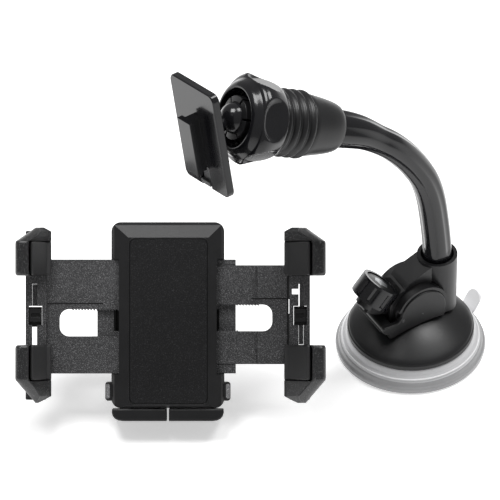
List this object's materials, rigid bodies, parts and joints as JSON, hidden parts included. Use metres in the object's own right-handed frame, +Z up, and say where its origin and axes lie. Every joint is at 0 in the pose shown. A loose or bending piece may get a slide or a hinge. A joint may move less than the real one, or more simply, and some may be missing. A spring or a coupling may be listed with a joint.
{
  "type": "car phone mount",
  "caption": "suction cup base with a bent neck, ball head and clip plate, and a spring-claw phone holder that clips onto it",
  "frame": {"origin": "centre of the suction face, on the surface the cup grips", "axes": "+Z up and away from that surface, +X to the right, +Y to the back; the holder stands off the arm to the left, facing the front and up"},
  "size_m": [0.2489, 0.1151, 0.225],
  "materials": {
    "satin_plastic": "satin black moulded plastic",
    "gloss_plastic": "glossy black moulded plastic",
    "grained_plastic": "grey-black plastic with a fine sparkling grain",
    "face_rubber": "near-black fine-textured pad",
    "claw_rubber": "mid-grey soft pad",
    "clear_rubber": "translucent pale grey soft plastic",
    "steel": "plain zinc-plated steel",
    "button_plastic": "light grey textured key in a black rim"
  },
  "bodies": {
    "cup": {"suction_disc": "clear_rubber", "suction_dome": "satin_plastic", "lever_pin": "steel"},
    "stud": {"cup_stud": "steel"},
    "lever": {"suction_lever": "satin_plastic"},
    "neck_base": {"neck_bracket": "satin_plastic", "neck_lower": "gloss_plastic", "neck_core_lower": "steel"},
    "knob": {"tilt_knob": "gloss_plastic", "tilt_bolt": "steel"},
    "neck_top": {"neck_upper": "gloss_plastic", "neck_core_upper": "steel", "ball_housing": "satin_plastic", "ball_cup": "satin_plastic"},
    "nut": {"clamp_nut": "gloss_plastic"},
    "ball": {"ball": "gloss_plastic"},
    "stem": {"ball_stem": "gloss_plastic"},
    "plate": {"clip_plate": "gloss_plastic"},
    "latch": {"clip_latch": "satin_plastic"},
    "holder": {"front_cover": "satin_plastic", "front_pad": "face_rubber", "rear_cover": "satin_plastic", "clip_receiver": "satin_plastic", "cover_screw_1": "steel", "cover_screw_2": "steel", "cover_screw_3": "steel", "cover_screw_4": "steel", "pinion_spring": "steel", "pawl_spring": "steel"},
    "left_arm": {"left_arm": "grained_plastic", "left_rail": "grained_plastic", "left_detent": "satin_plastic"},
    "right_arm": {"right_arm": "grained_plastic", "right_rail": "grained_plastic", "right_detent": "satin_plastic"},
    "pinion": {"sync_pinion": "satin_plastic"},
    "pawl": {"ratchet_pawl": "satin_plastic"},
    "left_button": {"left_button": "button_plastic"},
    "right_button": {"right_button": "button_plastic"},
    "left_foot": {"left_foot": "satin_plastic"},
    "right_foot": {"right_foot": "satin_plastic"},
    "left_top_claw": {"left_top_claw": "grained_plastic", "left_top_claw_pad": "claw_rubber"},
    "left_bottom_claw": {"left_bottom_claw": "grained_plastic", "left_bottom_claw_pad": "claw_rubber"},
    "right_top_claw": {"right_top_claw": "grained_plastic", "right_top_claw_pad": "claw_rubber"},
    "right_bottom_claw": {"right_bottom_claw": "grained_plastic", "right_bottom_claw_pad": "claw_rubber"}
  },
  "joints": [
    {"name": "lever_open", "type": "hinge", "parent": "cup", "child": "lever", "pos_m": [0, 0, 0.033], "axis": [-0.5, 0.866, 0], "range_deg": [0, 8]},
    {"name": "stud_draw", "type": "slide", "parent": "cup", "child": "stud", "axis": [0, 0, -1], "range_m": [0, 0.0012]},
    {"name": "neck_tilt", "type": "hinge", "parent": "cup", "child": "neck_base", "pos_m": [0, 0, 0.033], "axis": [-0.5, 0.866, 0], "range_deg": [-4, 4]},
    {"name": "knob_turn", "type": "hinge", "parent": "neck_base", "child": "knob", "pos_m": [-0.01949, -0.01125, 0.0482], "axis": [0.5682, 0.328, 0.7547], "continuous": true},
    {"name": "neck_bend", "type": "hinge", "parent": "neck_base", "child": "neck_top", "pos_m": [0.00329, 0.00347, 0.1192], "axis": [-0.3907, 0.9205, 0], "range_deg": [-10, 20]},
    {"name": "nut_turn", "type": "hinge", "parent": "neck_top", "child": "nut", "pos_m": [-0.09315, -0.03746, 0.19236], "axis": [-0.8343, -0.3541, 0.4226], "range_deg": [0, 90]},
    {"name": "ball_swing", "type": "hinge", "parent": "neck_top", "child": "ball", "pos_m": [-0.09315, -0.03746, 0.19236], "axis": [-0.8343, -0.3541, 0.4226], "continuous": true},
    {"name": "ball_tilt", "type": "hinge", "parent": "ball", "child": "stem", "pos_m": [-0.09315, -0.03746, 0.19236], "axis": [-0.525, 0.7443, -0.4128], "range_deg": [-12, 40]},
    {"name": "plate_roll", "type": "hinge", "parent": "stem", "child": "plate", "pos_m": [-0.09315, -0.03746, 0.19236], "axis": [-0.8171, -0.5764, 0], "continuous": true},
    {"name": "latch_flex", "type": "hinge", "parent": "plate", "child": "latch", "pos_m": [-0.10754, -0.05316, 0.17458], "axis": [0.5586, -0.7918, 0.247], "range_deg": [0, 8], "stiffness_Nm_per_rad": 0.06},
    {"name": "holder_clip_slide", "type": "slide", "parent": "cup", "child": "holder", "axis": [0, 0.6691, 0.7431], "range_m": [0, 0.03]},
    {"name": "left_arm_slide", "type": "slide", "parent": "holder", "child": "left_arm", "axis": [1, 0, 0], "range_m": [0, 0.03]},
    {"name": "right_arm_slide", "type": "slide", "parent": "holder", "child": "right_arm", "axis": [1, 0, 0], "range_m": [-0.03, 0]},
    {"name": "pinion_turn", "type": "hinge", "parent": "holder", "child": "pinion", "pos_m": [-0.1291, -0.03421, 0.04805], "axis": [0, -0.7431, 0.6691], "range_deg": [-325, 0]},
    {"name": "left_button_press", "type": "slide", "parent": "holder", "child": "left_button", "axis": [1, 0, 0], "range_m": [0, 0.0015], "stiffness_N_per_m": 300},
    {"name": "right_button_press", "type": "slide", "parent": "holder", "child": "right_button", "axis": [1, 0, 0], "range_m": [-0.0015, 0]},
    {"name": "pawl_drop", "type": "slide", "parent": "holder", "child": "pawl", "axis": [0, -0.6691, -0.7431], "range_m": [0, 0.0015]},
    {"name": "left_foot_slide", "type": "slide", "parent": "holder", "child": "left_foot", "axis": [0, -0.7431, 0.6691], "range_m": [0, 0.014]},
    {"name": "left_top_claw_slide", "type": "slide", "parent": "left_arm", "child": "left_top_claw", "axis": [0, -0.6691, -0.7431], "range_m": [0, 0.012]},
    {"name": "left_bottom_claw_slide", "type": "slide", "parent": "left_arm", "child": "left_bottom_claw", "axis": [0, 0.6691, 0.7431], "range_m": [0, 0.01]},
    {"name": "right_foot_slide", "type": "slide", "parent": "holder", "child": "right_foot", "axis": [0, -0.7431, 0.6691], "range_m": [0, 0.014]},
    {"name": "right_top_claw_slide", "type": "slide", "parent": "right_arm", "child": "right_top_claw", "axis": [0, -0.6691, -0.7431], "range_m": [0, 0.012]},
    {"name": "right_bottom_claw_slide", "type": "slide", "parent": "right_arm", "child": "right_bottom_claw", "axis": [0, 0.6691, 0.7431], "range_m": [0, 0.01]}
  ],
  "couplings": [
    {"joint": "lever_open", "follows": "stud_draw", "rad_per_m": 116.24},
    {"joint": "right_arm_slide", "follows": "left_arm_slide", "ratio": -1},
    {"joint": "pinion_turn", "follows": "left_arm_slide", "rad_per_m": -188.68},
    {"joint": "right_button_press", "follows": "left_button_press", "ratio": -1},
    {"joint": "pawl_drop", "follows": "left_button_press", "ratio": 1}
  ]
}
